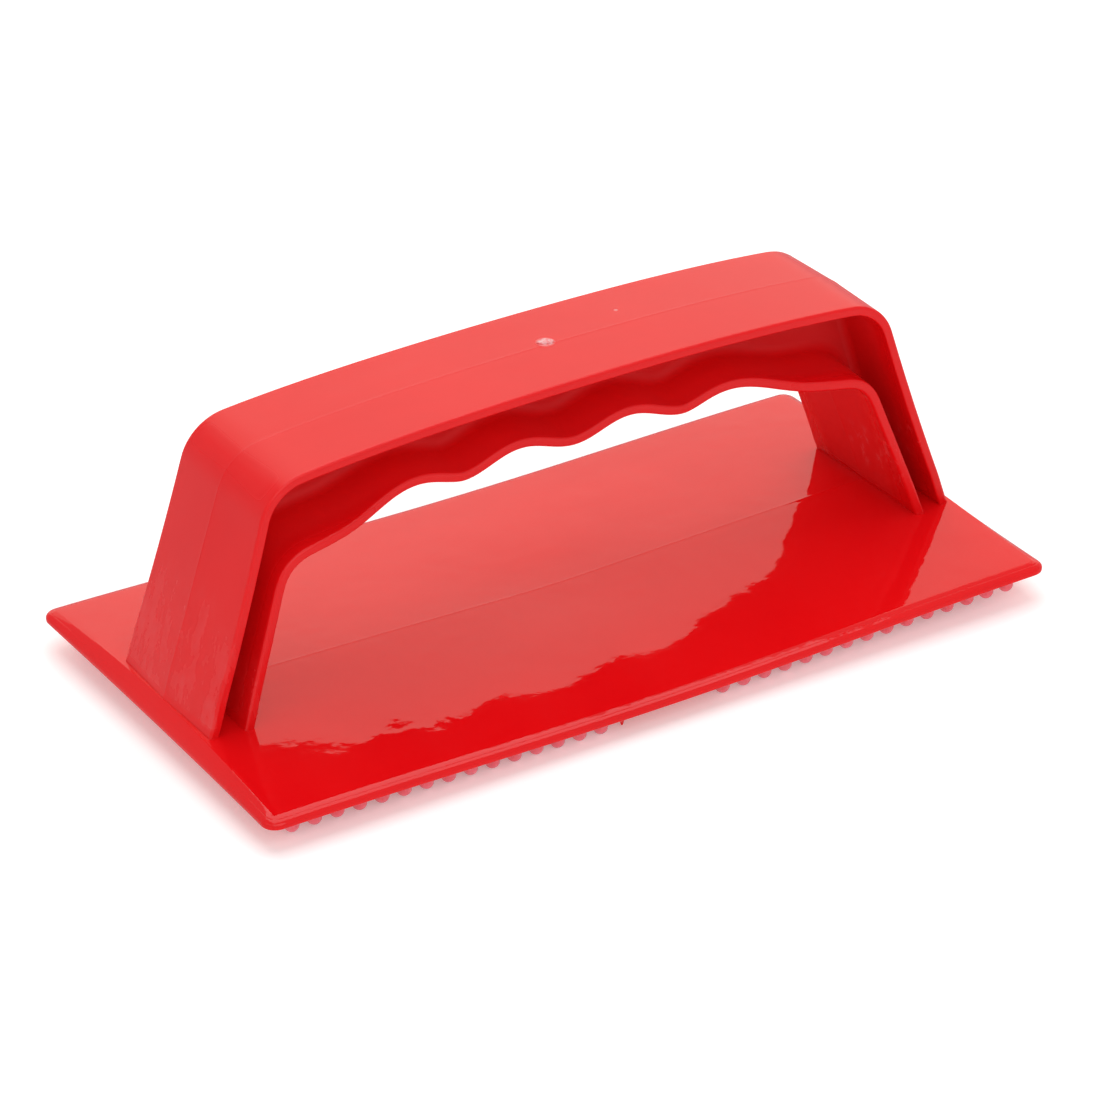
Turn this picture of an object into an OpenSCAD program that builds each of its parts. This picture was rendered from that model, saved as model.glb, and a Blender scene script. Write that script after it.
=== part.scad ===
// Hand pad holder: a moulded plate with an I-section bow handle, and two
// studded grip mats stuck under the plate. Millimetres. Z = 0 is the plane
// that the lowest stud tips stand on, X runs along the plate, +Y to its back.

/* [Plate] */
// Length of the plate
plate_l = 230; // [200:1:260]
// Width of the plate
plate_w = 120.6; // [100:0.2:140]
// Thickness of the plate along its middle line
plate_t = 5.8; // [4.5:0.1:7]
// Thickness of the plate along its long edges
edge_t = 3.1; // [2.5:0.1:4]
// Corner radius of the plate, seen from above
corner_r = 4; // [2:0.5:10]
// How far the middle of the plate sags below its two ends
bow = 1.85; // [0:0.05:3]

/* [Handle] */
// Height of the handle top above the underside of the plate ends
handle_h = 72.1; // [66:0.1:80]
// Drop of the handle top from its middle to its corners
arch = 4.0; // [1:0.1:6]
// Half length of the handle at its foot
foot_x = 111; // [104:0.5:113]
// Half length of the handle where the top and the leg lines cross
top_x = 90.4; // [84:0.1:96]
// Outer corner radius of the handle
bend_r = 14; // [8:0.5:20]
// Thickness of the palm flange
palm_t = 2.9; // [2:0.1:4]
// Thickness of the finger flange
finger_t = 3.0; // [2:0.1:4]
// Thickness of the web between the flanges
web_t = 3.0; // [2:0.1:5]
// Width of the handle at its foot
foot_w = 45.8; // [38:0.2:54]
// Width of the handle at its top
top_w = 40.2; // [32:0.2:46]
// Width of the finger flange at its waist
waist_w = 31; // [26:0.5:38]

/* [Finger grip] */
// Height of the middle ridge above the underside of the plate ends
grip_z = 50.9; // [48:0.1:54]
// Half length of the scalloped stretch
grip_x = 71; // [64:0.5:76]
// Half length of the finger opening at the plate
opening_x = 99.5; // [96:0.5:101]
// Depth of the four finger scallops
scallop = 3.8; // [0:0.1:5]

/* [Grip mats] */
// Spacing of the studs along X
pitch_x = 6.26; // [5.5:0.01:6.5]
// Spacing of the studs along Y
pitch_y = 6.4; // [5.5:0.1:6.5]
// Studs in a row along X, on each mat
studs_x = 15; // [4:1:15]
// Rows of studs along Y
studs_y = 18; // [4:1:18]
// Distance from the middle of the plate to the first stud
first_x = 18.1; // [12:0.1:20]
// Diameter of a stud
stud_d = 4.2; // [3:0.1:4.8]
// Length of a stud below its backing
stud_h = 4.1; // [2.5:0.1:5]
// Thickness of the mat backing
mat_t = 1.15; // [0.8:0.05:2]
// Thickness of the adhesive film
film_t = 0.15; // [0.1:0.05:0.4]

/* [Hidden] */
red = [0.88, 0.10, 0.08];
rose = [0.90, 0.36, 0.38];
glue = [0.93, 0.90, 0.80];
stud_r = stud_d / 2;
// height of the underside of the plate at its ends; the innermost studs are
// the lowest, and their tips stand on Z = 0
z0 = stud_h + mat_t + film_t + bow * (1 + cos(360 * first_x / plate_l)) / 2;
mat_e = stud_r + 0.6;

// underside of the plate: level at both ends, lowest in the middle
function bowz(x) = z0 - bow * (1 + cos(360 * x / plate_l)) / 2;

// top line of the handle
function topz(x) = z0 + handle_h - arch * pow(abs(x) / top_x, 2);
corner_z = topz(top_x);
foot_z = z0 + 2;
// height where the leg lines meet the plate
seat_z = z0 + 4.7;
lean = atan2(foot_x - top_x, corner_z - seat_z);
// slope of the plate top from its middle line to its long edges
roof = atan(2 * (plate_t - edge_t) / plate_w);
slope = atan(2 * arch / top_x);
turn = 90 - lean - slope;
tan_l = bend_r * tan(turn / 2);
// centre of the corner bend
leg_t = [top_x + tan_l * sin(lean), corner_z - tan_l * cos(lean)];
bend_c = [leg_t[0] - bend_r * cos(lean), leg_t[1] - bend_r * sin(lean)];
foot_px = foot_x + (seat_z - foot_z) * tan(lean);

// right half of the handle's outer outline, moved inward by d
function outer_half(d) = concat(
    [for (i = [0:10]) let (x = i / 10 * (bend_c[0] + (bend_r - d) * sin(slope))) [x, topz(x) - d]],
    [for (i = [1:9]) let (a = 90 - slope - i / 10 * turn)
        [bend_c[0] + (bend_r - d) * cos(a), bend_c[1] + (bend_r - d) * sin(a)]],
    [[leg_t[0] - d * cos(lean), leg_t[1] - d * sin(lean)],
     [foot_px - d / cos(lean), foot_z]]);

// right half of the finger opening: scallops, then the inside of the leg
function ridge(x) = z0 + grip_z - 3.1 * pow(x / grip_x, 2);
mid_x = grip_x * 0.458;
function groove(x) = x < mid_x
    ? scallop * pow(sin(180 * x / mid_x), 2)
    : scallop * pow(sin(180 * pow((x - mid_x) / (grip_x - mid_x), 0.78)), 2);
function legside(u) = seat_z + (ridge(grip_x) - seat_z) * pow(1 - pow(u, 2.6), 0.92);
function inner_half() = concat(
    [for (i = [0:32]) let (x = i / 32 * grip_x) [x, ridge(x) + groove(x)]],
    [for (i = [1:15]) let (u = sin(90 * i / 16)) [grip_x + u * (opening_x - grip_x), legside(u)]],
    [[opening_x, seat_z]]);

// the same line moved outward by d along its own normal
function unit(v) = v / norm(v);
function moved(p, d) = [for (i = [0:len(p) - 1])
    let (a = p[max(i - 1, 0)], b = p[min(i + 1, len(p) - 1)], t = unit(b - a))
    i == 0 ? p[0] + [0, d] : p[i] + d * [-t[1], t[0]]];

function both(p) = concat([for (q = p) q], [for (i = [len(p) - 1:-1:1]) [-p[i][0], p[i][1]]]);
function closed(p) = both(concat(p, [[p[len(p) - 1][0], foot_z]]));

module across(w) {
    rotate([90, 0, 0]) linear_extrude(height = w, center = true) children();
}

// front and back faces lean in towards the top
module width_envelope() {
    rotate([90, 0, 90]) linear_extrude(height = plate_l, center = true)
        polygon([[-foot_w / 2, 0], [foot_w / 2, 0], [foot_w / 2, seat_z],
                 [top_w / 2, z0 + handle_h + 1], [-top_w / 2, z0 + handle_h + 1], [-foot_w / 2, seat_z]]);
}

// the finger flange is narrower where the fingers curl
function waist(x) = abs(x) < 42 ? waist_w / 2
    : abs(x) > 80 ? foot_w / 2
    : waist_w / 2 + (foot_w - waist_w) / 2 * (1 - cos(180 * (abs(x) - 42) / 38)) / 2;
module waist_envelope() {
    xs = [-plate_l / 2, -80, -74, -68, -61, -54, -48, -42, 42, 48, 54, 61, 68, 74, 80, plate_l / 2];
    linear_extrude(height = 100)
        polygon(concat([for (x = xs) [x, -waist(x)]], [for (i = [len(xs) - 1:-1:0]) [xs[i], waist(xs[i])]]));
}

module for_both_sides(h) {
    intersection_for (s = [-1, 1]) translate([0, 0, h]) rotate([s * roof, 0, 0]) translate([0, 0, -h]) children();
}

module plate() {
    n = 32;
    xs = [for (i = [0:n]) plate_l * (i / n - 0.5)];
    ridge_z = z0 + plate_t;
    intersection() {
        across(plate_w) polygon(concat([for (x = xs) [x, bowz(x)]],
            [[plate_l / 2, z0 + 12], [-plate_l / 2, z0 + 12]]));
        // two tilted tops, one to each side, meet in a ridge along the middle
        for_both_sides(ridge_z) across(plate_w + 20)
            polygon(concat([[-plate_l / 2 - 1, z0 - 14], [plate_l / 2 + 1, z0 - 14],
                            [plate_l / 2 + 1, bowz(plate_l / 2) + plate_t]],
                [for (i = [n:-1:0]) [xs[i], bowz(xs[i]) + plate_t]],
                [[-plate_l / 2 - 1, bowz(plate_l / 2) + plate_t]]));
        union() {
            for (w = [[0, corner_r], [corner_r, 0]])
                translate([0, 0, 20]) cube([plate_l - 2 * w[0], plate_w - 2 * w[1], 60], center = true);
            for (sx = [-1, 1], sy = [-1, 1])
                translate([sx * (plate_l / 2 - corner_r), sy * (plate_w / 2 - corner_r), -10])
                    cylinder(h = 60, r = corner_r, $fn = 48);
        }
    }
}

module palm_flange() {
    intersection() {
        across(60) difference() {
            polygon(both(outer_half(0)));
            polygon(both(concat(outer_half(palm_t), [[foot_px - palm_t / cos(lean) + 1 * tan(lean), foot_z - 1]])));
        }
        width_envelope();
    }
}

module finger_flange() {
    intersection() {
        across(60) difference() {
            polygon(closed(moved(inner_half(), finger_t)));
            polygon(both(concat(inner_half(), [[opening_x, foot_z - 1]])));
        }
        width_envelope();
        waist_envelope();
    }
}

module web() {
    across(web_t) difference() {
        polygon(both(outer_half(palm_t / 2)));
        polygon(both(concat(inner_half(), [[opening_x, foot_z - 1]])));
    }
}

module body_moulding() {
    color(red) union() {
        plate();
        palm_flange();
        finger_flange();
        web();
    }
}

// a layer that follows the underside of the plate, from depth d0 to depth d1
module layer(x0, x1, hw, d0, d1) {
    n = 12;
    xs = [for (i = [0:n]) x0 + (x1 - x0) * i / n];
    across(2 * hw) polygon(concat([for (x = xs) [x, bowz(x) - d1]],
        [for (i = [n:-1:0]) [xs[i], bowz(xs[i]) - d0]]));
}

module stud() {
    rotate_extrude($fn = 24) union() {
        translate([0, 0]) square([stud_r, stud_h - stud_r + 0.4]);
        intersection() {
            circle(r = stud_r, $fn = 24);
            translate([0, -stud_r]) square([stud_r, stud_r]);
        }
    }
}

mat_x0 = first_x - mat_e;
mat_x1 = first_x + (studs_x - 1) * pitch_x + mat_e;
mat_y = (studs_y - 1) / 2 * pitch_y + mat_e;

module grip_mat(s) {
    color(rose) union() {
        layer(s * mat_x0, s * mat_x1, mat_y, film_t, film_t + mat_t);
        for (i = [0:studs_x - 1], j = [0:studs_y - 1])
            let (x = s * (first_x + i * pitch_x))
                translate([x, (j - (studs_y - 1) / 2) * pitch_y,
                           bowz(x) - film_t - mat_t - stud_h + stud_r]) stud();
    }
}

module adhesive_film(s) {
    color(glue) layer(s * (mat_x0 + 0.5), s * (mat_x1 - 0.5), mat_y - 0.5, 0, film_t);
}

module grip_mat_left() { grip_mat(-1); }
module grip_mat_right() { grip_mat(1); }
module adhesive_film_left() { adhesive_film(-1); }
module adhesive_film_right() { adhesive_film(1); }

body_moulding();
grip_mat_left();
grip_mat_right();
adhesive_film_left();
adhesive_film_right();
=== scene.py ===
import bpy, bmesh, math
import numpy as np
from mathutils import Matrix, Vector


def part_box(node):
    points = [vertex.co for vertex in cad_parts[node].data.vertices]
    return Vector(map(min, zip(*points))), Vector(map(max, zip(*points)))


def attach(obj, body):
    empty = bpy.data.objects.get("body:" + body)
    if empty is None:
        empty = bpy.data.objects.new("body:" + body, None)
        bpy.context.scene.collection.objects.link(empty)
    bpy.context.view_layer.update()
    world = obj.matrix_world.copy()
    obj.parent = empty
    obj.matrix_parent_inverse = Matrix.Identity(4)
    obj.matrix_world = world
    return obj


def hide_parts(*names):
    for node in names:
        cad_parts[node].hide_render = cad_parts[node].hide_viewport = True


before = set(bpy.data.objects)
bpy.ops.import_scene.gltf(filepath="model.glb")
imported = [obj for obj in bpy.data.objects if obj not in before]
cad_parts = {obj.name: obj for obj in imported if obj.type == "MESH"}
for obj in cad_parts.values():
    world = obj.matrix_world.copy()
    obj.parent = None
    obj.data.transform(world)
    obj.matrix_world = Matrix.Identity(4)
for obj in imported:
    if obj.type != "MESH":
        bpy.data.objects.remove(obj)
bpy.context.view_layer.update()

# ------------------------------------------------------------------ sizes, in millimetres
L, W = 230.0, 120.6              # plate
BOW, TWIST = 1.85, 0.78          # sag of the middle, and twist of the plate at its corners
RC = 4.0                         # plan corner radius
T0, TE = 5.8, 2.75                # plate thickness along its middle line and inside its edge
lo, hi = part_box("body_moulding")
Z0 = float(lo[2]) * 1000.0 + BOW  # height of the plate's underside at its ends
SEAT = 4.7


def bow(x):
    return -BOW * (1 + np.cos(2 * np.pi * x / L)) / 2


def warp(p):
    """The plate's slight twist, carried up into the handle, and the drawn-in ends."""
    p = np.array(p, float)
    x, y, z = p[:, 0].copy(), p[:, 1].copy(), p[:, 2].copy()
    th = -TWIST / (W / 2) * (x / (L / 2))
    p[:, 2] = z + y * th
    p[:, 1] = y - (z - Z0) * th
    low = np.clip(1 - (z - Z0 - 8) / 6, 0, 1)
    p[:, 0] = x - np.sign(x) * 0.5 * (np.abs(x) / (L / 2)) ** 6 * (1 - np.clip(np.abs(2 * y / W), 0, 1) ** 2) * low
    return p


def make(name, verts, faces):
    me = bpy.data.meshes.new(name)
    me.from_pydata((np.asarray(verts, float) / 1000.0).tolist(), [], faces)
    me.validate()
    ob = bpy.data.objects.new(name, me)
    bpy.context.scene.collection.objects.link(ob)
    bm = bmesh.new()
    bm.from_mesh(me)
    bmesh.ops.recalc_face_normals(bm, faces=bm.faces)
    bm.to_mesh(me)
    bm.free()
    return ob


# ------------------------------------------------------------------ plate
def z_top(x, y):
    ay = (np.sqrt(y * y + 0.6) - 0.77) / (W / 2 - 3.0)
    t = T0 - (T0 - TE) * (0.55 * ay + 0.45 * ay * ay)
    dip = -0.55 * np.exp(-(x / 24.0) ** 2) * np.exp(-(y / 20.0) ** 2)
    return Z0 + bow(x) + t + dip


def build_plate():
    bev = 3.0
    xs = np.linspace(-(L / 2 - bev), L / 2 - bev, 113)
    half = np.concatenate([[0.0, 0.22, 0.55, 1.2], np.linspace(2.6, W / 2 - bev, 28)])
    ys = np.concatenate([-half[:0:-1], half])
    nx, ny = len(xs), len(ys)
    V, F = [], []
    X, Y = np.meshgrid(xs, ys, indexing="ij")
    seam = 0.045 * np.exp(-(Y / 0.28) ** 2) - 0.03 * np.exp(-((Y + 0.75) / 0.45) ** 2)
    Z = z_top(X, Y) + seam
    for i in range(nx):
        for j in range(ny):
            V.append((X[i, j], Y[i, j], Z[i, j]))
    for i in range(nx - 1):
        for j in range(ny - 1):
            a = i * ny + j
            F.append((a, a + ny, a + ny + 1, a + 1))
    nb = len(V)
    for i in range(nx):
        for j in range(ny):
            V.append((X[i, j], Y[i, j], Z0 + bow(X[i, j])))
    for i in range(nx - 1):
        for j in range(ny - 1):
            a = nb + i * ny + j
            F.append((a, a + 1, a + ny + 1, a + ny))
    # boundary loop of the grid: bottom edge, right, top, left
    loop = [(i, 0) for i in range(nx)] + [(nx - 1, j) for j in range(1, ny)] + \
           [(i, ny - 1) for i in range(nx - 2, -1, -1)] + [(0, j) for j in range(ny - 2, 0, -1)]
    K = 8
    ring = []   # (grid index, direction to move out, corner centre or None)
    for (i, j) in loop:
        x, y = xs[i], ys[j]
        if i in (0, nx - 1) and j in (0, ny - 1):
            a0 = {(0, 0): 180, (nx - 1, 0): 270, (nx - 1, ny - 1): 0, (0, ny - 1): 90}[(i, j)]
            for k in range(K + 1):
                a = math.radians(a0 + 90.0 * k / K)
                ring.append((i, j, (math.cos(a), math.sin(a)), True))
        elif j == 0:
            ring.append((i, j, (0, -1), False))
        elif j == ny - 1:
            ring.append((i, j, (0, 1), False))
        elif i == 0:
            ring.append((i, j, (-1, 0), False))
        else:
            ring.append((i, j, (1, 0), False))
    prof = [(2.7, "t", -0.05), (2.2, "t", -0.19), (1.62, "t", -0.37), (1.50, "t", -0.46), (1.42, "t", -0.46),
            (1.25, "t", -0.50), (0.8, "t", -0.74), (0.45, "t", -0.98), (0.2, "t", -1.25), (0.05, "t", -1.5), (0.0, "b", 1.0), (0.0, "b", 0.45), (0.07, "b", 0.2),
            (0.22, "b", 0.06), (0.45, "b", 0.0), (1.4, "b", 0.0)]
    R = len(ring)
    rings = [[i * ny + j for (i, j, d, c) in ring]]
    for (inset, kind, dz) in prof:
        ids = []
        for (i, j, d, c) in ring:
            gx, gy = xs[i], ys[j]
            if c:
                cx = math.copysign(L / 2 - RC, gx)
                cy = math.copysign(W / 2 - RC, gy)
                x, y = cx + d[0] * (RC - inset), cy + d[1] * (RC - inset)
            else:
                x = math.copysign(L / 2 - inset, d[0]) if d[0] else float(np.clip(gx, -(L / 2 - RC), L / 2 - RC))
                y = math.copysign(W / 2 - inset, d[1]) if d[1] else float(np.clip(gy, -(W / 2 - RC), W / 2 - RC))
            base = Z0 + float(bow(x))
            z = base + dz if kind == "b" else float(z_top(np.float64(gx), np.float64(math.copysign(W / 2 - bev, gy) if not d[0] or c else gy))) + dz
            if kind == "t" and d[0] and not c:
                z = base + (float(z_top(np.float64(gx), np.float64(gy))) - Z0 - float(bow(gx))) * (1 - 0) + dz
            if kind == "t":
                # the bevel ends at one level all the way round, whatever the height inside it
                level = base + TE + dz
                k = (bev - inset) / bev
                z = z * (1 - k) + level * k
            V.append((x, y, z))
            ids.append(len(V) - 1)
        rings.append(ids)
    rings.append([nb + i * ny + j for (i, j, d, c) in ring])
    for a, b in zip(rings[:-1], rings[1:]):
        for k in range(R):
            q = [a[k], b[k], b[(k + 1) % R], a[(k + 1) % R]]
            u = []
            for v in q:
                if v not in u:
                    u.append(v)
            if len(u) >= 3:
                F.append(tuple(u))
    return make("plate_tmp", warp(V), F)


# ------------------------------------------------------------------ handle
def resample(p, n):
    d = np.concatenate([[0], np.cumsum(np.hypot(*np.diff(p, axis=0).T))])
    t = np.linspace(0, d[-1], n)
    return np.stack([np.interp(t, d, p[:, 0]), np.interp(t, d, p[:, 1])], 1), d


def smooth(p, sigma, step):
    """Gaussian smoothing along the line, with its ends continued as they leave."""
    k = int(4 * sigma / step)
    w = np.exp(-0.5 * (np.arange(-k, k + 1) * step / sigma) ** 2)
    w /= w.sum()
    mirror = p[1:k + 1][::-1] * np.array([-1, 1])   # x = 0 is a plane of symmetry
    tail = p[-1] + (p[-1] - p[-2]) * np.arange(1, k + 1)[:, None]
    q = np.concatenate([mirror, p, tail])
    return np.stack([np.convolve(q[:, i], w, "valid") for i in (0, 1)], 1)


def outer_line():
    x = np.linspace(0, 90.45, 700)
    top = np.stack([x, 72.16 - 3.24 * (x / 100) ** 2 - 2.28 * (x / 100) ** 4], 1)
    u = np.linspace(1, 0, 700)
    leg = np.stack([110.72 + (90.45 - 110.72) * u - 0.676 * 4 * u * (1 - u), SEAT + (top[-1, 1] - SEAT) * u], 1)

    def inner(p, r):
        t = np.gradient(p, axis=0)
        t /= np.hypot(*t.T)[:, None]
        return p + r * np.stack([t[:, 1], -t[:, 0]], 1)
    r = 14.0
    a, b = inner(top, r), inner(leg, r)
    d = ((a[:, None, :] - b[None, :, :]) ** 2).sum(2)
    i, j = np.unravel_index(d.argmin(), d.shape)
    c = (a[i] + b[j]) / 2
    a0 = math.atan2(*(top[i] - c)[::-1])
    a1 = math.atan2(*(leg[j] - c)[::-1])
    th = np.linspace(a0, a1, 60)[1:-1]
    arc = c + r * np.stack([np.cos(th), np.sin(th)], 1)
    end = leg[-1] + (leg[-1] - leg[-2]) / np.hypot(*(leg[-1] - leg[-2])) * 2.6
    return np.concatenate([top[:i + 1], arc, leg[j:], [end]])


def inner_line(side):
    gx, gz, sc, mid = 71.0, 50.9, 3.8, 71.0 * 0.458
    x = np.linspace(0, gx, 900)
    ridge = gz - 3.1 * (x / gx) ** 2
    groove = np.where(x < mid, sc * np.sin(np.pi * x / mid) ** 2,
                      sc * np.sin(np.pi * np.clip((x - mid) / (gx - mid), 0, 1) ** 0.78) ** 2)
    a = np.stack([x, ridge + groove], 1)
    # a nearly straight leg and a bend, a little different at the two ends
    corner, foot, r = np.array([84.2, 45.7]), np.array([99.5, SEAT]), 9.0
    if side < 0:
        corner, foot, r = np.array([85.4, 45.9]), np.array([98.4, SEAT]), 10.0
    d0 = (corner - a[-1]) / np.hypot(*(corner - a[-1]))
    d1 = (foot - corner) / np.hypot(*(foot - corner))
    turn = math.acos(float(d0 @ d1))
    cut = r * math.tan(turn / 2)
    c = corner - d0 * cut + r * np.array([d0[1], -d0[0]])
    t0 = math.atan2(-d0[0] * -1, -d0[1])
    arc = [c + r * np.array([math.cos(t0 - turn * k), math.sin(t0 - turn * k)]) for k in np.linspace(0, 1, 80)]
    return np.concatenate([a, np.array(arc), [foot, foot + d1 * 2.7]])


def normals(p):
    t = np.gradient(p, axis=0)
    t[0] = [1, 0]
    t /= np.hypot(*t.T)[:, None]
    return np.stack([-t[:, 1], t[:, 0]], 1)   # points away from the opening


def handle_half(side):
    A0, _ = resample(outer_line(), 2400)
    D0, _ = resample(inner_line(side), 2400)
    sA = np.hypot(*(A0[1] - A0[0]))
    sD = np.hypot(*(D0[1] - D0[0]))
    A0, D0 = smooth(A0, 0.9, sA), smooth(D0, 1.2, sD)
    nA0, nD0 = normals(A0), normals(D0)
    # match the two lines at the middle, at the bends and at the feet
    kA = np.argmin(np.abs(np.degrees(np.arctan2(nA0[:, 0], nA0[:, 1])) - 38))
    kD = np.argmin(np.hypot(*(D0 - np.array([85.0, 44.0])).T))
    S = 176
    s = np.linspace(0, 1, S)
    sm = 0.60
    fa = np.interp(s, [0, sm, 1], [0, kA, 2399])
    fd = np.interp(s, [0, sm, 1], [0, kD, 2399])
    g = lambda arr, f: np.stack([np.interp(f, np.arange(2400), arr[:, i]) for i in (0, 1)], 1)
    A, D, nA, nD = g(A0, fa), g(D0, fd), g(nA0, fa), g(nD0, fd)
    # half-widths of the flanges: the palm flange narrows with height, the finger flange widens towards the legs and
    # feet
    wa = 22.4 - 2.27 * np.clip((A[:, 1] - SEAT) / 67.3, -0.05, 1)
    ax = np.abs(D[:, 0])
    wi = np.where(ax < 40, 15.2, np.where(ax > 82, 21.2, 15.2 + 6.0 * (1 - np.cos(np.pi * (ax - 40) / 42)) / 2))
    wi = wi + np.where(ax > 82, 2.2 * np.clip((44 - D[:, 1]) / 39.3, 0, 1.05), 0)
    leg = np.clip((s - sm + 0.05) / 0.25, 0, 1)
    leg = leg * leg * (3 - 2 * leg)
    cA = 0.35 + 0.95 * leg          # height of the outer face's middle above its edges
    cD = 0.45 + 0.15 * leg
    r1, r2, r3, tw = 0.8, 0.4, 0.8, 1.5
    te, tr = 2.5, 3.4
    ft, fr = 2.7, 3.5
    # root fillets at the web, smaller where the flanges come close at the feet
    gap = np.hypot(*(A - D).T) - tr - fr
    rp = np.clip(0.38 * gap, 0.5, 2.2)
    rf = np.clip(0.42 * gap, 0.5, 2.8)
    P = []

    def palm(y, d):
        y = np.broadcast_to(y, (S,)).astype(float)
        d = np.broadcast_to(d, (S,)).astype(float)
        P.append((A - nA * d[:, None], y.copy()))

    def fing(y, d):
        y = np.broadcast_to(y, (S,)).astype(float)
        d = np.broadcast_to(d, (S,)).astype(float)
        P.append((D + nD * d[:, None], y.copy()))

    ridge = 0.045
    palm(0.0, -cA - ridge)
    palm(0.16, -cA * (1 - 0.16 / wa) - ridge * 0.8)
    palm(0.38, -cA * (1 - 0.38 / wa))
    palm(0.9, -cA * (1 - 0.9 / wa))
    for k in np.linspace(0.12, 1, 8):
        y = 0.9 + (wa - r1 - 0.9) * k
        palm(y, -cA * (1 - y / wa) * np.where(y > 0, 1, 1))
    for a in np.radians([15, 30, 45, 60, 75, 90]):
        palm(wa - r1 + r1 * math.sin(a), r1 - r1 * math.cos(a) - cA * (r1 / wa) * math.cos(a))
    for a in np.radians([0, 22.5, 45, 67.5, 90]):
        palm(wa - 0.02 - r2 + r2 * math.cos(a), te - r2 + r2 * math.sin(a))
    for k in (0.08, 0.3, 0.55, 0.8, 1.0):
        y = (wa - r2) * (1 - k) + (tw + rp) * k
        palm(y, te + (tr - te) * k)
    for a in np.radians([18, 36, 54, 72, 90]):
        palm(tw + rp - rp * math.sin(a), tr + rp - rp * math.cos(a))
    pa = A - nA * (tr + rp)[:, None]
    pd = D + nD * (fr + rf)[:, None]
    for k in (0.2, 0.4, 0.6, 0.8):
        P.append((pa * (1 - k) + pd * k, np.full(S, tw)))
    for a in np.radians([90, 72, 54, 36, 18]):
        fing(tw + rf - rf * math.sin(a), fr + rf - rf * math.cos(a))
    for k in (0.0, 0.25, 0.5, 0.75, 0.95):
        y = (tw + rf) * (1 - k) + (wi - r3) * k
        fing(y, fr + (ft - fr) * k)
    for a in np.radians([90, 72, 54, 36, 18, 0]):
        fing(wi - r3 + r3 * math.cos(a), ft - r3 + r3 * math.sin(a))
    for a in np.radians([0, 18, 36, 54, 72, 90])[1:]:
        fing(wi - r3 + r3 * math.cos(a), r3 - r3 * math.sin(a))
    for k in (0.12, 0.3, 0.5, 0.7, 0.85, 0.93):
        y = (wi - r3) * (1 - k)
        fing(y, -cD * (1 - y / wi))
    fing(0.35, -cD)
    fing(0.0, -cD - 0.06)
    half = P
    full = half + [(xz, -y) for (xz, y) in half[-2:0:-1]]
    M = len(full)
    XZ = np.stack([f[0] for f in full])     # M,S,2
    YY = np.stack([f[1] for f in full])     # M,S
    right = np.stack([XZ[:, :, 0], YY, XZ[:, :, 1] + Z0], 2).transpose(1, 0, 2)   # S,M,3
    return right * np.array([side, 1, 1]), M


def build_handle():
    right, M = handle_half(1)
    left, _ = handle_half(-1)
    st = np.concatenate([left[1:][::-1], right])
    n = len(st)
    V = st.reshape(-1, 3)
    F = []
    for i in range(n - 1):
        for j in range(M):
            k = (j + 1) % M
            F.append((i * M + j, (i + 1) * M + j, (i + 1) * M + k, i * M + k))
    F.append(tuple(range(M)))
    F.append(tuple((n - 1) * M + j for j in range(M))[::-1])
    return make("handle_tmp", warp(V), F)


def lump(name, centre, size, seed, rough=0.16, power=1.0):
    """A small uneven lump of plastic: a gate vestige or a bit of flash."""
    rng = np.random.RandomState(seed)
    ph = rng.uniform(0, 6.28, 6)
    nu, nv = 22, 11
    V = [(0, 0, 1)]
    for j in range(1, nv):
        for i in range(nu):
            t, p = math.pi * j / nv, 2 * math.pi * i / nu
            r = 1 + rough * (math.sin(2 * p + ph[0]) * 0.5 + math.sin(3 * p + ph[1]) * 0.35 + math.sin(5 * p + 3 * t + ph[2]) * 0.3)
            cz = math.copysign(abs(math.cos(t)) ** power, math.cos(t))
            V.append((r * math.sin(t) * math.cos(p), r * math.sin(t) * math.sin(p), cz * (1 + rough * 0.7 * math.sin(4 * p + ph[3]) * math.sin(t))))
    V.append((0, 0, -1))
    F = []
    for i in range(nu):
        F.append((0, 1 + i, 1 + (i + 1) % nu))
        for j in range(nv - 2):
            a, b = 1 + j * nu, 1 + (j + 1) * nu
            F.append((a + i, b + i, b + (i + 1) % nu, a + (i + 1) % nu))
        a = 1 + (nv - 2) * nu
        F.append((a + i, len(V) - 1, a + (i + 1) % nu))
    V = np.array(V) * np.array(size) + np.array(centre)
    return make(name, V, F)


def union(base, *others):
    for o in others:
        m = base.modifiers.new("u", "BOOLEAN")
        m.operation, m.solver, m.object = "UNION", "EXACT", o
        dg = bpy.context.evaluated_depsgraph_get()
        new = bpy.data.meshes.new_from_object(base.evaluated_get(dg))
        if len(new.polygons) < len(base.data.polygons) * 0.9:
            raise RuntimeError("the union with " + o.name + " lost the body")
        base.modifiers.clear()
        old, base.data = base.data, new
        bpy.data.meshes.remove(old)
        old = o.data
        bpy.data.objects.remove(o)
        bpy.data.meshes.remove(old)
    return base


def finish_mesh(ob, angle):
    me = ob.data
    bm = bmesh.new()
    bm.from_mesh(me)
    bmesh.ops.dissolve_degenerate(bm, dist=1e-6, edges=bm.edges)
    bmesh.ops.recalc_face_normals(bm, faces=bm.faces)
    bm.to_mesh(me)
    bm.free()
    me.shade_smooth()
    me.set_sharp_from_angle(angle=math.radians(angle))
    m = ob.modifiers.new("wn", "WEIGHTED_NORMAL")
    m.mode, m.weight, m.keep_sharp = "FACE_AREA", 60, True
    dg = bpy.context.evaluated_depsgraph_get()
    new = bpy.data.meshes.new_from_object(ob.evaluated_get(dg))
    ob.modifiers.clear()
    old, ob.data = ob.data, new
    bpy.data.meshes.remove(old)


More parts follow.
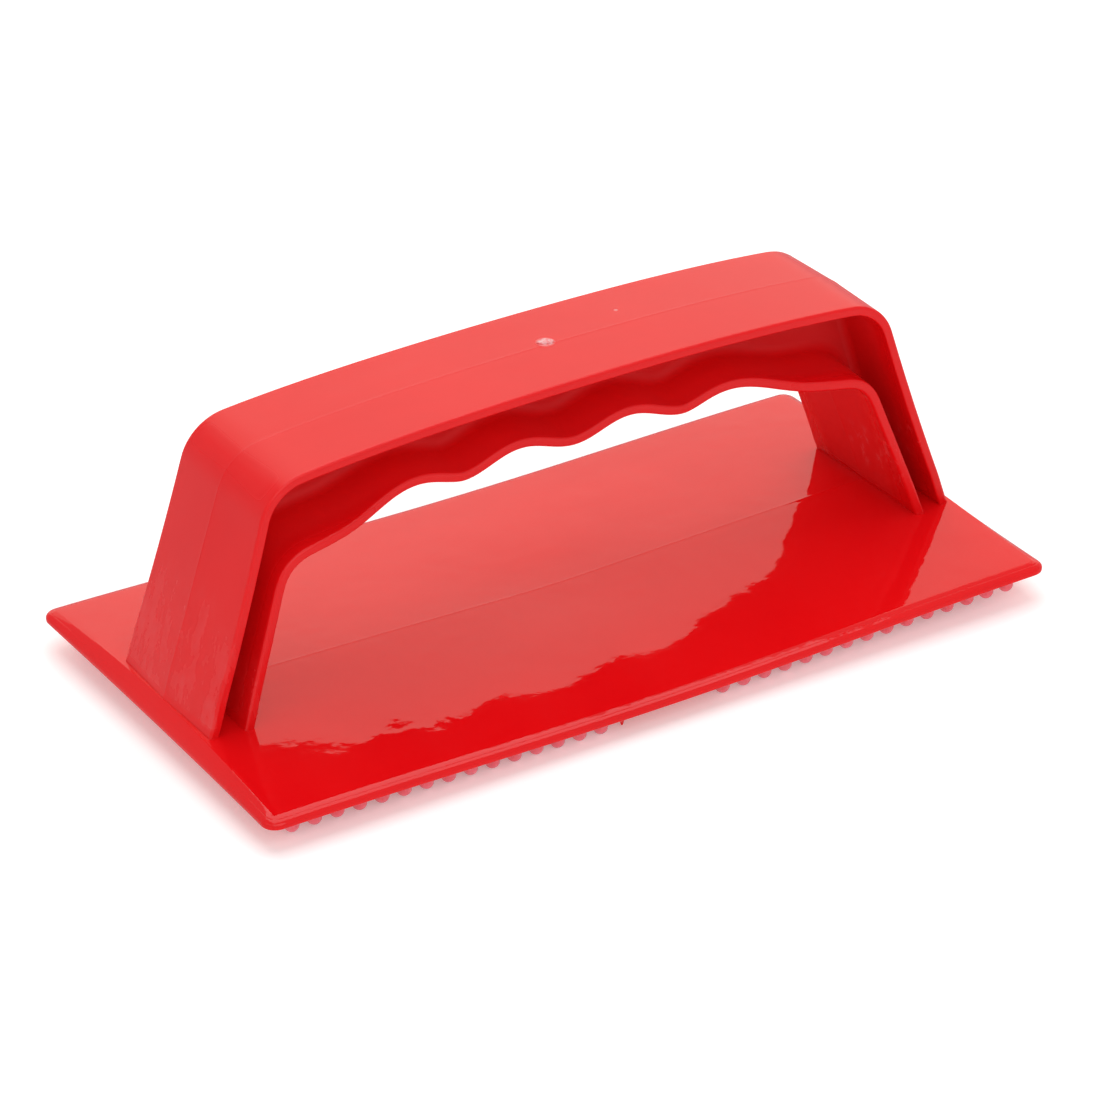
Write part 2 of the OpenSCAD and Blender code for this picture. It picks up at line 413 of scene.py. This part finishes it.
body = build_plate()
handle = build_handle()
gate = lump("gate_tmp", (1.4, 1.4, Z0 + 72.45), (2.1, 1.5, 0.62), 3, 0.22, 0.6)
under = Z0 - BOW
spike = lump("spike_tmp", (-11.9, -54.6, under - 1.6), (0.75, 0.75, 3.4), 5, 0.10, 1.0)
bump = lump("bump_tmp", (0.6, -54.6, under - 0.2), (1.5, 1.4, 1.7), 6, 0.12, 1.0)
body = union(body, handle, gate, spike, bump)
body.name = "body_skin"
finish_mesh(body, 34)


# ------------------------------------------------------------------ grip mats
PITCH, PY, NX_, NY_, X1 = 6.26, 6.4, 15, 18, 18.1
FILM, MAT, PEG, PR = 0.15, 1.15, 4.1, 2.08


def build_mat(sign):
    V, F = [], []
    grid = {}

    def add(p):
        key = (round(p[0], 4), round(p[1], 4), round(p[2], 4))
        if key not in grid:
            grid[key] = len(V)
            V.append(p)
        return grid[key]
    K = 16
    rim = 0.0
    cell = []
    hx, hy = PITCH / 2, PY / 2
    for k in range(K):
        a = 2 * math.pi * (k + 0.0) / K
        c, s_ = math.cos(a), math.sin(a)
        m = max(abs(c), abs(s_))
        cell.append((c / m * hx, s_ / m * hy))
    lv = [(PR + 0.42, 0.0), (PR + 0.16, 0.09), (PR, 0.36), (PR * 0.985, 1.1), (PR * 0.97, PEG - PR * 1.02)]
    for a in (12, 26, 40, 54, 68, 80):
        r = math.radians(a)
        lv.append((PR * 0.97 * math.cos(r), PEG - PR * 1.02 + PR * 1.02 * math.sin(r)))
    rng = np.random.RandomState(11 if sign < 0 else 12)
    for i in range(NX_):
        for j in range(NY_):
            x = sign * (X1 + i * PITCH)
            y = (j - (NY_ - 1) / 2) * PY
            base = Z0 + float(bow(x)) - FILM - MAT
            dx, dy, dh = rng.uniform(-0.06, 0.06), rng.uniform(-0.06, 0.06), rng.uniform(-0.10, 0.0)
            out = []
            for (cx, cy) in cell:
                px_, py_ = x + cx, y + cy
                out.append(add((px_, py_, Z0 + float(bow(px_)) - FILM - MAT)))
            prev = out
            for (r, d) in lv:
                ids = []
                for k in range(K):
                    a = 2 * math.pi * k / K
                    q = d / PEG
                    V.append((x + r * math.cos(a) + dx * q, y + r * math.sin(a) + dy * q, base - d + dh * q * -1 * 0.0 + (-dh) * q * 1.0))
                    ids.append(len(V) - 1)
                for k in range(K):
                    F.append((prev[k], prev[(k + 1) % K], ids[(k + 1) % K], ids[k]))
                prev = ids
            V.append((x + dx, y + dy, base - PEG - dh))
            t = len(V) - 1
            for k in range(K):
                F.append((prev[k], prev[(k + 1) % K], t))
    # sides and the face against the film: take the open boundary and close it upwards
    ob = make("mat_tmp", V, F)
    bm = bmesh.new()
    bm.from_mesh(ob.data)
    edges = [e for e in bm.edges if e.is_boundary]
    low = {v for e in edges for v in e.verts}
    ret = bmesh.ops.extrude_edge_only(bm, edges=edges)
    up = [v for v in ret["geom"] if isinstance(v, bmesh.types.BMVert)]
    for v in up:
        v.co.z = (Z0 + float(bow(v.co.x * 1000)) - FILM) / 1000
    new_edges = [e for e in ret["geom"] if isinstance(e, bmesh.types.BMEdge) and e.is_boundary]
    # the top is filled in strips across Y so that it follows the bow
    bmesh.ops.recalc_face_normals(bm, faces=bm.faces)
    ys = sorted({round(v.co.y, 6) for v in up})
    front = sorted([v for v in up if abs(v.co.y - ys[0]) < 1e-6], key=lambda v: v.co.x)
    back = sorted([v for v in up if abs(v.co.y - ys[-1]) < 1e-6], key=lambda v: v.co.x)
    left = sorted([v for v in up if abs(v.co.x - front[0].co.x) < 1e-6], key=lambda v: v.co.y)
    right = sorted([v for v in up if abs(v.co.x - front[-1].co.x) < 1e-6], key=lambda v: v.co.y)
    nf = len(front)
    bm.faces.new([front[0], front[1], back[1]] + left[::-1][:-1])
    for k in range(1, nf - 2):
        bm.faces.new([front[k], front[k + 1], back[k + 1], back[k]])
    bm.faces.new([front[nf - 2]] + right + [back[nf - 2]])
    bmesh.ops.recalc_face_normals(bm, faces=bm.faces)
    co = np.array([v.co for v in bm.verts]) * 1000
    co = warp(co) / 1000
    for v, c in zip(bm.verts, co):
        v.co = c
    bm.to_mesh(ob.data)
    bm.free()
    ob.data.shade_smooth()
    ob.data.set_sharp_from_angle(angle=math.radians(50))
    return ob


mat_l = build_mat(-1)
mat_l.name = "mat_left_skin"
mat_r = build_mat(1)
mat_r.name = "mat_right_skin"


def build_film(sign):
    a = X1 - PITCH / 2 + 0.5
    b = X1 + (NX_ - 1) * PITCH + PITCH / 2 - 0.5
    hy = (NY_ - 1) / 2 * PY + PY / 2 - 0.5
    xs = np.linspace(a, b, 40) * sign
    ys = np.linspace(-hy, hy, 30)
    V, F = [], []
    n = len(ys)
    for d in (0.004, FILM - 0.004):
        for x in xs:
            for y in ys:
                V.append((x, y, Z0 + float(bow(x)) - d))
    N = len(xs) * n
    for i in range(len(xs) - 1):
        for j in range(n - 1):
            p = i * n + j
            F.append((p, p + n, p + n + 1, p + 1))
            F.append((N + p, N + p + 1, N + p + n + 1, N + p + n))
    for i in range(len(xs) - 1):
        for j in (0, n - 1):
            p, q = i * n + j, (i + 1) * n + j
            F.append((p, q, N + q, N + p))
    for j in range(n - 1):
        for i in (0, len(xs) - 1):
            p, q = i * n + j, i * n + j + 1
            F.append((p, q, N + q, N + p))
    return make("film_tmp", warp(V), F)


film_l = build_film(-1)
film_l.name = "film_left_skin"
film_r = build_film(1)
film_r.name = "film_right_skin"


# ------------------------------------------------------------------ materials
class Nodes:
    def __init__(self, name):
        self.mat = bpy.data.materials.new(name)
        self.mat.use_nodes = True
        self.t = self.mat.node_tree
        self.b = next(n for n in self.t.nodes if n.type == "BSDF_PRINCIPLED")
        self.co = self.add("ShaderNodeTexCoord").outputs["Object"]

    def add(self, kind, **kw):
        n = self.t.nodes.new(kind)
        for k, v in kw.items():
            setattr(n, k, v)
        return n

    def put(self, sock, v):
        if isinstance(v, bpy.types.NodeSocket):
            self.t.links.new(v, sock)
        else:
            sock.default_value = v

    def math(self, op, a, b=0.0, c=0.0, clamp=False):
        n = self.add("ShaderNodeMath", operation=op, use_clamp=clamp)
        for s_, v in zip(n.inputs, (a, b, c)):
            self.put(s_, v)
        return n.outputs[0]

    def noise(self, scale, detail=3.0, rough=0.5, stretch=(1, 1, 1), rot=(0, 0, 0), distort=0.0):
        m = self.add("ShaderNodeMapping")
        m.inputs["Scale"].default_value = stretch
        m.inputs["Rotation"].default_value = rot
        self.put(m.inputs["Vector"], self.co)
        n = self.add("ShaderNodeTexNoise")
        self.put(n.inputs["Vector"], m.outputs[0])
        n.inputs["Scale"].default_value = scale
        n.inputs["Detail"].default_value = detail
        n.inputs["Roughness"].default_value = rough
        n.inputs["Distortion"].default_value = distort
        return n.outputs["Fac"]

    def ramp(self, v, lo_, hi_, to0=0.0, to1=1.0):
        n = self.add("ShaderNodeMapRange", clamp=True, interpolation_type="SMOOTHSTEP")
        for s_, k in zip(n.inputs, (v, lo_, hi_, to0, to1)):
            self.put(s_, k)
        return n.outputs[0]

    def mix(self, f, a, b):
        n = self.add("ShaderNodeMix", data_type="RGBA")
        self.put(n.inputs[0], f)
        self.put(n.inputs[6], a)
        self.put(n.inputs[7], b)
        return n.outputs[2]

    def axes(self):
        n = self.add("ShaderNodeSeparateXYZ")
        self.put(n.inputs[0], self.co)
        return n.outputs

    def near(self, p, r0, r1):
        """1 inside r0 of the point p, 0 outside r1, in metres."""
        n = self.add("ShaderNodeVectorMath", operation="DISTANCE")
        self.put(n.inputs[0], self.co)
        n.inputs[1].default_value = p
        return self.ramp(n.outputs["Value"], r0, r1, 1.0, 0.0)

    def bump(self, layers):
        nrm = None
        for (h, dist, strength) in layers:
            b = self.add("ShaderNodeBump")
            b.inputs["Distance"].default_value = dist
            b.inputs["Strength"].default_value = strength
            self.put(b.inputs["Height"], h)
            if nrm is not None:
                self.put(b.inputs["Normal"], nrm)
            nrm = b.outputs[0]
        self.put(self.b.inputs["Normal"], nrm)


Z = Z0 / 1000.0
n = Nodes("red_moulding")
x, y, z = n.axes()
up = n.ramp(z, Z + 0.0061, Z + 0.0076)                      # 0 on the plate, 1 on the handle
cloud = n.noise(22, 4, 0.55)
col = n.mix(n.ramp(cloud, 0.3, 0.7), (0.752, 0.0032, 0.0056, 1), (0.792, 0.0046, 0.0066, 1))
# pale rubbed and stressed plastic round the left foot, streaked along the leg
streak = n.noise(300, 4, 0.6, stretch=(1.0, 1.0, 0.16))
blot = n.noise(90, 3, 0.6)
leftface = n.math("MULTIPLY", n.ramp(x, -0.1085, -0.090, 1.0, 0.0), up)
lower = n.ramp(z, Z + 0.010, Z + 0.046, 1.0, 0.0)
whit = n.math("MULTIPLY", n.math("MULTIPLY", leftface, lower),
              n.math("MULTIPLY", n.ramp(streak, 0.34, 0.78), n.ramp(blot, 0.30, 0.75)))
# scuffs on the right leg, towards the opening
right = n.math("MULTIPLY", n.ramp(x, 0.086, 0.094), n.ramp(x, 0.100, 0.104, 1.0, 0.0))
rlow = n.math("MULTIPLY", n.ramp(z, Z + 0.008, Z + 0.012), n.ramp(z, Z + 0.024, Z + 0.034, 1.0, 0.0))
scuff = n.math("MULTIPLY", n.math("MULTIPLY", n.math("MULTIPLY", right, rlow), n.near((0.096, -0.012, Z + 0.022), 0.004, 0.014)),
               n.ramp(n.noise(260, 4, 0.7, stretch=(1, 1, 0.5), distort=1.2), 0.50, 0.66))
gatem = n.near((0.0014, 0.0014, Z + 0.0729), 0.0016, 0.0027)
gate_n = n.ramp(n.noise(900, 3, 0.6), 0.35, 0.65, 0.25, 1.0)
speck = n.near((0.0262, 0.0075, Z + 0.0722), 0.0002, 0.0007)
pale = n.math("MAXIMUM", n.math("MULTIPLY", whit, 0.11), n.math("MULTIPLY", scuff, 0.20))
pale = n.math("MAXIMUM", pale, n.math("MULTIPLY", n.math("MULTIPLY", gatem, gate_n), 0.95))
pale = n.math("MAXIMUM", pale, n.math("MULTIPLY", speck, 0.5))
col = n.mix(pale, col, (0.88, 0.55, 0.56, 1))
n.put(n.b.inputs["Base Color"], col)
# the plate was moulded against a polished face, and the handle against a duller one
fine = n.noise(1500, 2, 0.5)
rgh = n.math("ADD", n.ramp(up, 0.0, 1.0, 0.030, 0.27), n.math("MULTIPLY", n.math("MULTIPLY", n.ramp(cloud, 0.3, 0.7), n.math("SUBTRACT", 1.0, up)), 0.02))
# the channels between the flanges are duller than the faces that the hand polishes
inside = n.math("MULTIPLY", up, n.ramp(n.math("ABSOLUTE", y), 0.0125, 0.0185, 1.0, 0.0))
top_ = n.ramp(n.math("ADD", z, n.math("MULTIPLY", n.math("MULTIPLY", x, x), 0.42)), Z + 0.0690, Z + 0.0712)
side_ = n.ramp(n.math("ADD", n.math("ABSOLUTE", x), n.math("MULTIPLY", z, 0.32)), 0.1120, 0.1138)
rgh = n.math("ADD", rgh, n.math("MULTIPLY", inside, n.math("MULTIPLY", n.math("SUBTRACT", 1.0, n.math("MAXIMUM", top_, side_)), 0.32)))
rgh = n.math("ADD", rgh, n.math("MULTIPLY", pale, 0.4))
n.put(n.b.inputs["Roughness"], rgh)
n.b.inputs["IOR"].default_value = 1.41
n.b.inputs["Subsurface Weight"].default_value = 0.10
n.b.inputs["Subsurface Radius"].default_value = (1.0, 0.12, 0.10)
n.b.inputs["Subsurface Scale"].default_value = 0.0022
wave = n.noise(46, 2.5, 0.5, distort=0.4)
ripple = n.noise(190, 2, 0.45)
calm = n.ramp(up, 0.0, 1.0, 1.0, 0.25)                     # the handle carries less of the small ripple
n.bump([(wave, 0.00040, 0.5), (n.math("MULTIPLY", ripple, calm), 0.000075, 0.6), (n.math("MULTIPLY", n.noise(420, 2, 0.5), calm), 0.000022, 0.6),
        (n.math("MULTIPLY", fine, up), 0.000003, 0.6),
        (pale, 0.00006, 0.8)])
red_mat = n.mat

n = Nodes("rose_grip")
x, y, z = n.axes()
cloud = n.noise(160, 3, 0.5)
# painted reflection: the lower part of each peg, nearest the floor, is painted lighter and pinker to stand in for
# light off the white floor below
floor_lit_tip = n.ramp(z, 0.0, 0.005, 1.0, 0.0)
# the rose base colour is partly the grip's own tone and partly painted light: it is made lighter to fill in the
# shade under the plate
col = n.mix(n.ramp(cloud, 0.35, 0.65), (0.80, 0.105, 0.135, 1), (0.86, 0.15, 0.19, 1))
col = n.mix(n.math("MULTIPLY", floor_lit_tip, 0.35), col, (0.90, 0.27, 0.33, 1))
n.put(n.b.inputs["Base Color"], col)
n.put(n.b.inputs["Roughness"], n.math("ADD", 0.22, n.math("MULTIPLY", cloud, 0.12)))
n.b.inputs["IOR"].default_value = 1.49
n.b.inputs["Subsurface Weight"].default_value = 0.45
n.b.inputs["Subsurface Radius"].default_value = (1.0, 0.32, 0.30)
n.b.inputs["Subsurface Scale"].default_value = 0.002
n.bump([(n.noise(700, 2, 0.5), 0.00003, 0.6)])
rose_mat = n.mat

n = Nodes("pale_film")
fibre = n.noise(600, 4, 0.6, stretch=(1, 0.3, 1))
n.put(n.b.inputs["Base Color"], n.mix(n.ramp(fibre, 0.3, 0.7), (0.74, 0.70, 0.58, 1), (0.85, 0.82, 0.72, 1)))
n.put(n.b.inputs["Roughness"], n.math("ADD", 0.5, n.math("MULTIPLY", fibre, 0.2)))
n.bump([(fibre, 0.00003, 0.6)])
film_mat = n.mat

for ob, mt, node, slot in ((body, red_mat, "body_moulding", "body"), (mat_l, rose_mat, "grip_mat_left", "grip_mat"),
                           (mat_r, rose_mat, "grip_mat_right", "grip_mat"),
                           (film_l, film_mat, "adhesive_film_left", "film"),
                           (film_r, film_mat, "adhesive_film_right", "film")):
    ob.data.materials.clear()
    ob.data.materials.append(mt)
    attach(ob, "root")
    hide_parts(node)

# ------------------------------------------------------------------ floor, light, camera
me = bpy.data.meshes.new("floor")
me.from_pydata([(-6, -6, 0), (6, -6, 0), (6, 6, 0), (-6, 6, 0)], [], [(0, 1, 2, 3)])
floor = bpy.data.objects.new("floor", me)
bpy.context.scene.collection.objects.link(floor)
n = Nodes("pale_floor")
g = n.noise(6, 3, 0.5)
n.put(n.b.inputs["Base Color"], n.mix(g, (0.92, 0.92, 0.92, 1), (0.94, 0.94, 0.94, 1)))
n.b.inputs["Roughness"].default_value = 0.9
n.b.inputs["Specular IOR Level"].default_value = 0.1
n.b.inputs["Emission Strength"].default_value = 0.22
me.materials.append(n.mat)
floor.visible_glossy = False

world = bpy.data.worlds.new("studio")
bpy.context.scene.world = world
world.use_nodes = True
bg = world.node_tree.nodes["Background"]
bg.inputs["Color"].default_value = (1, 1, 1, 1)
bg.inputs["Strength"].default_value = 0.52


def softbox(name, pos, aim, size, radiance, color=(1, 1, 1)):
    li = bpy.data.lights.new(name, "AREA")
    li.shape = "RECTANGLE"
    li.size, li.size_y = size
    li.color = color
    li.energy = radiance * math.pi * size[0] * size[1]
    ob = bpy.data.objects.new(name, li)
    bpy.context.scene.collection.objects.link(ob)
    ob.location = pos
    ob.rotation_euler = (Vector(aim) - Vector(pos)).to_track_quat("-Z", "Y").to_euler()
    ob.visible_camera = False
    return ob


softbox("rear_panel", (0.95, 1.65, 1.15), (0, 0, 0.04), (3.0, 1.9), 0.72, (1.0, 0.94, 0.77))
softbox("top_box", (0.12, 0.42, 1.5), (0.12, 0.42, 0.0), (1.4, 1.7), 1.55)
softbox("left_box", (-1.6, -0.25, 1.15), (0, 0, 0.04), (1.2, 0.9), 0.42, (1.0, 0.90, 0.78))
softbox("front_box", (-0.35, -1.75, 1.45), (0, 0, 0.05), (2.4, 1.5), 1.15)

az, el, roll = math.radians(31.2381), math.radians(29.1040), math.radians(-0.8479)
fwd = Vector((math.sin(az) * math.cos(el), math.cos(az) * math.cos(el), -math.sin(el)))
rt = Vector((math.cos(az), -math.sin(az), 0))
up_ = rt.cross(fwd)
rt2 = math.cos(roll) * rt + math.sin(roll) * up_
up2 = -math.sin(roll) * rt + math.cos(roll) * up_
eye = Vector((13.7208, 20.8553, Z0)) - 1347.0734 * fwd
cam_d = bpy.data.cameras.new("camera")
cam_d.sensor_width = 36.0
cam_d.sensor_fit = "HORIZONTAL"
cam_d.lens = 5154.578 / 1100 * 36.0
cam_d.clip_start, cam_d.clip_end = 0.05, 60
cam = bpy.data.objects.new("camera", cam_d)
bpy.context.scene.collection.objects.link(cam)
m = Matrix((rt2, up2, -fwd)).transposed().to_4x4()
m.translation = eye / 1000.0
cam.matrix_world = m
bpy.context.scene.camera = cam
bpy.context.scene.view_settings.view_transform = "Standard"
